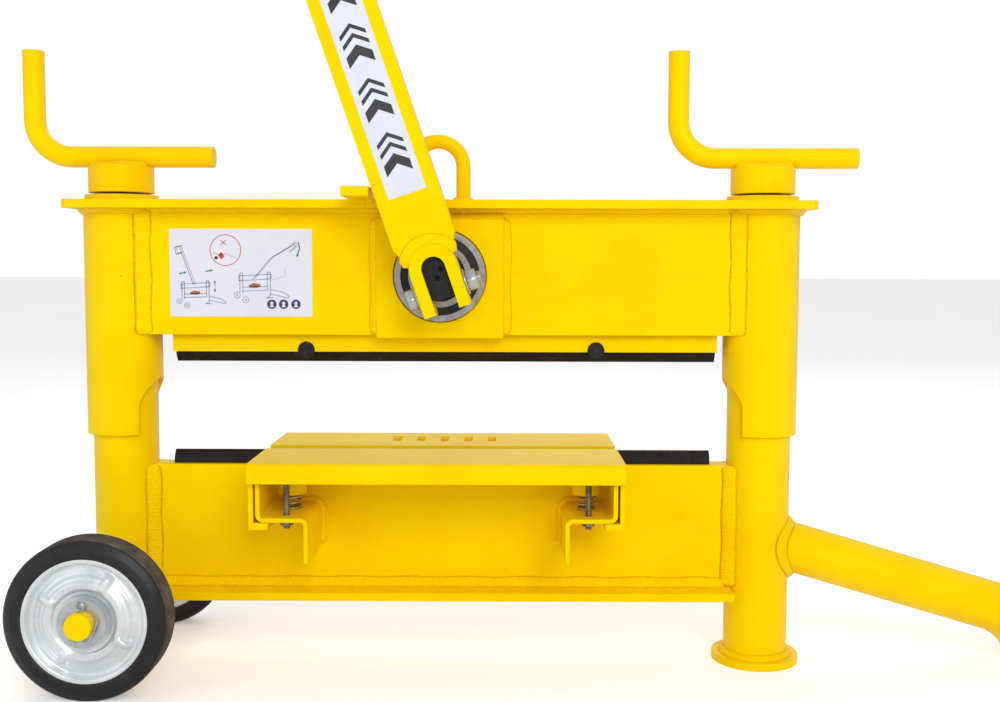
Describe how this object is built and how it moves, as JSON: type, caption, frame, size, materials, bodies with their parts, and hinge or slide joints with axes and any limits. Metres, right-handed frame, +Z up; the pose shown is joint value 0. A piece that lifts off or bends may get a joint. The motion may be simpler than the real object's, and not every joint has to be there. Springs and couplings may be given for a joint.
{
  "type": "manual block splitter",
  "caption": "Hand-lever block splitter: wheeled lower frame with fixed blade and sprung tables, crank-adjusted upper frame with a blade pressed by an eccentric lever.",
  "frame": {"origin": "middle of the machine's footprint (bounding box) on the floor", "axes": "+X along the beams from the wheels to the support leg, -Y towards the operator's front side with the lever and label, +Z up"},
  "size_m": [1.2738, 0.3588, 1.448],
  "materials": {
    "yellow_paint": "bright yellow powder coat, satin gloss, slight orange peel",
    "black_steel": "blackened hardened steel, dull sheen",
    "zinc_steel": "bright zinc-plated and galvanised steel",
    "spring_steel": "yellow-passivated spring steel",
    "bearing_steel": "ground bearing steel",
    "black_rubber": "matt black rubber",
    "tyre_rubber": "solid black rubber tyre with fine tread ribs",
    "white_label": null
  },
  "bodies": {
    "lower_frame": {"left_post": "yellow_paint", "right_post": "yellow_paint", "lower_beam": "yellow_paint", "lower_flange": "yellow_paint", "lower_blade": "black_steel", "lower_blade_pins": "black_steel", "foot_plate": "yellow_paint", "leg_tube": "yellow_paint", "leg_end_pad": "yellow_paint", "screw_nuts": "zinc_steel", "wheel_axle": "yellow_paint", "wheel_washers": "zinc_steel", "split_pins": "zinc_steel", "table_brackets": "yellow_paint", "table_studs": "zinc_steel", "front_table_springs": "spring_steel", "back_table_springs": "spring_steel"},
    "upper_frame": {"left_sleeve": "yellow_paint", "right_sleeve": "yellow_paint", "top_flange": "yellow_paint", "upper_webs": "yellow_paint", "bearing_plates": "yellow_paint", "bearing_outer_rings": "bearing_steel", "bearing_seals": "black_rubber", "lifting_eye": "yellow_paint", "lever_stop": "yellow_paint", "instruction_label": "white_label", "thrust_washers": "yellow_paint", "thrust_rings": "black_rubber"},
    "lever": {"eccentric_shaft": "black_steel", "bearing_inner_rings": "bearing_steel", "bearing_balls": "bearing_steel", "lever_fork": "yellow_paint", "lever_channel": "yellow_paint", "fork_bolt": "zinc_steel", "fork_nut": "zinc_steel", "lever_label": "white_label", "extension_collar": "yellow_paint", "clamp_screw": "zinc_steel"},
    "extension": {"lever_extension": "yellow_paint", "d_handle": "yellow_paint", "handle_grip": "black_rubber"},
    "pressing_blade": {"blade_holder": "yellow_paint", "blade_yoke": "black_steel", "upper_blade": "black_steel", "upper_blade_pins": "black_steel"},
    "left_screw": {"left_spindle": "zinc_steel", "left_crank": "yellow_paint"},
    "right_screw": {"right_spindle": "zinc_steel", "right_crank": "yellow_paint"},
    "front_table_body": {"front_table": "yellow_paint"},
    "back_table_body": {"back_table": "yellow_paint"},
    "front_wheel": {"front_tyre": "tyre_rubber", "front_rim": "zinc_steel", "front_hub": "zinc_steel"},
    "back_wheel": {"back_tyre": "tyre_rubber", "back_rim": "zinc_steel", "back_hub": "zinc_steel"}
  },
  "joints": [
    {"name": "frame_lift", "type": "slide", "parent": "lower_frame", "child": "upper_frame", "axis": [0, 0, 1], "range_m": [-0.0901, 0.0451]},
    {"name": "left_crank_turn", "type": "hinge", "parent": "upper_frame", "child": "left_screw", "pos_m": [-0.52237, 0, 0.6], "axis": [0, 0, 1], "range_deg": [-6480, 3240]},
    {"name": "right_crank_turn", "type": "hinge", "parent": "upper_frame", "child": "right_screw", "pos_m": [0.24763, 0, 0.6], "axis": [0, 0, 1], "range_deg": [-6485, 3245]},
    {"name": "lever_swing", "type": "hinge", "parent": "upper_frame", "child": "lever", "pos_m": [-0.13737, 0, 0.47], "axis": [0, 1, 0], "range_deg": [0, 100]},
    {"name": "blade_press", "type": "slide", "parent": "upper_frame", "child": "pressing_blade", "axis": [0, 0, 1], "range_m": [-0.01555, 0.0001]},
    {"name": "lever_extend", "type": "slide", "parent": "lever", "child": "extension", "axis": [-0.3256, 0, 0.9455], "range_m": [-0.24, 0]},
    {"name": "front_table_press", "type": "slide", "parent": "lower_frame", "child": "front_table_body", "axis": [0, 0, 1], "range_m": [-0.012, 0], "stiffness_N_per_m": 15000, "springref_m": 0.008, "deforming": ["front_table_springs"]},
    {"name": "back_table_press", "type": "slide", "parent": "lower_frame", "child": "back_table_body", "axis": [0, 0, 1], "range_m": [-0.012, 0], "stiffness_N_per_m": 15000, "springref_m": 0.008, "deforming": ["back_table_springs"]},
    {"name": "front_wheel_spin", "type": "hinge", "parent": "lower_frame", "child": "front_wheel", "pos_m": [-0.52237, -0.14, 0.091], "axis": [0, 1, 0], "continuous": true},
    {"name": "back_wheel_spin", "type": "hinge", "parent": "lower_frame", "child": "back_wheel", "pos_m": [-0.52237, 0.14, 0.091], "axis": [0, 1, 0], "continuous": true}
  ],
  "couplings": [
    {"joint": "frame_lift", "follows": "left_crank_turn", "m_per_rad": 0.00079577},
    {"joint": "right_crank_turn", "follows": "left_crank_turn", "ratio": 1},
    {"joint": "blade_press", "follows": "lever_swing", "m_per_rad": -0.0088508}
  ]
}
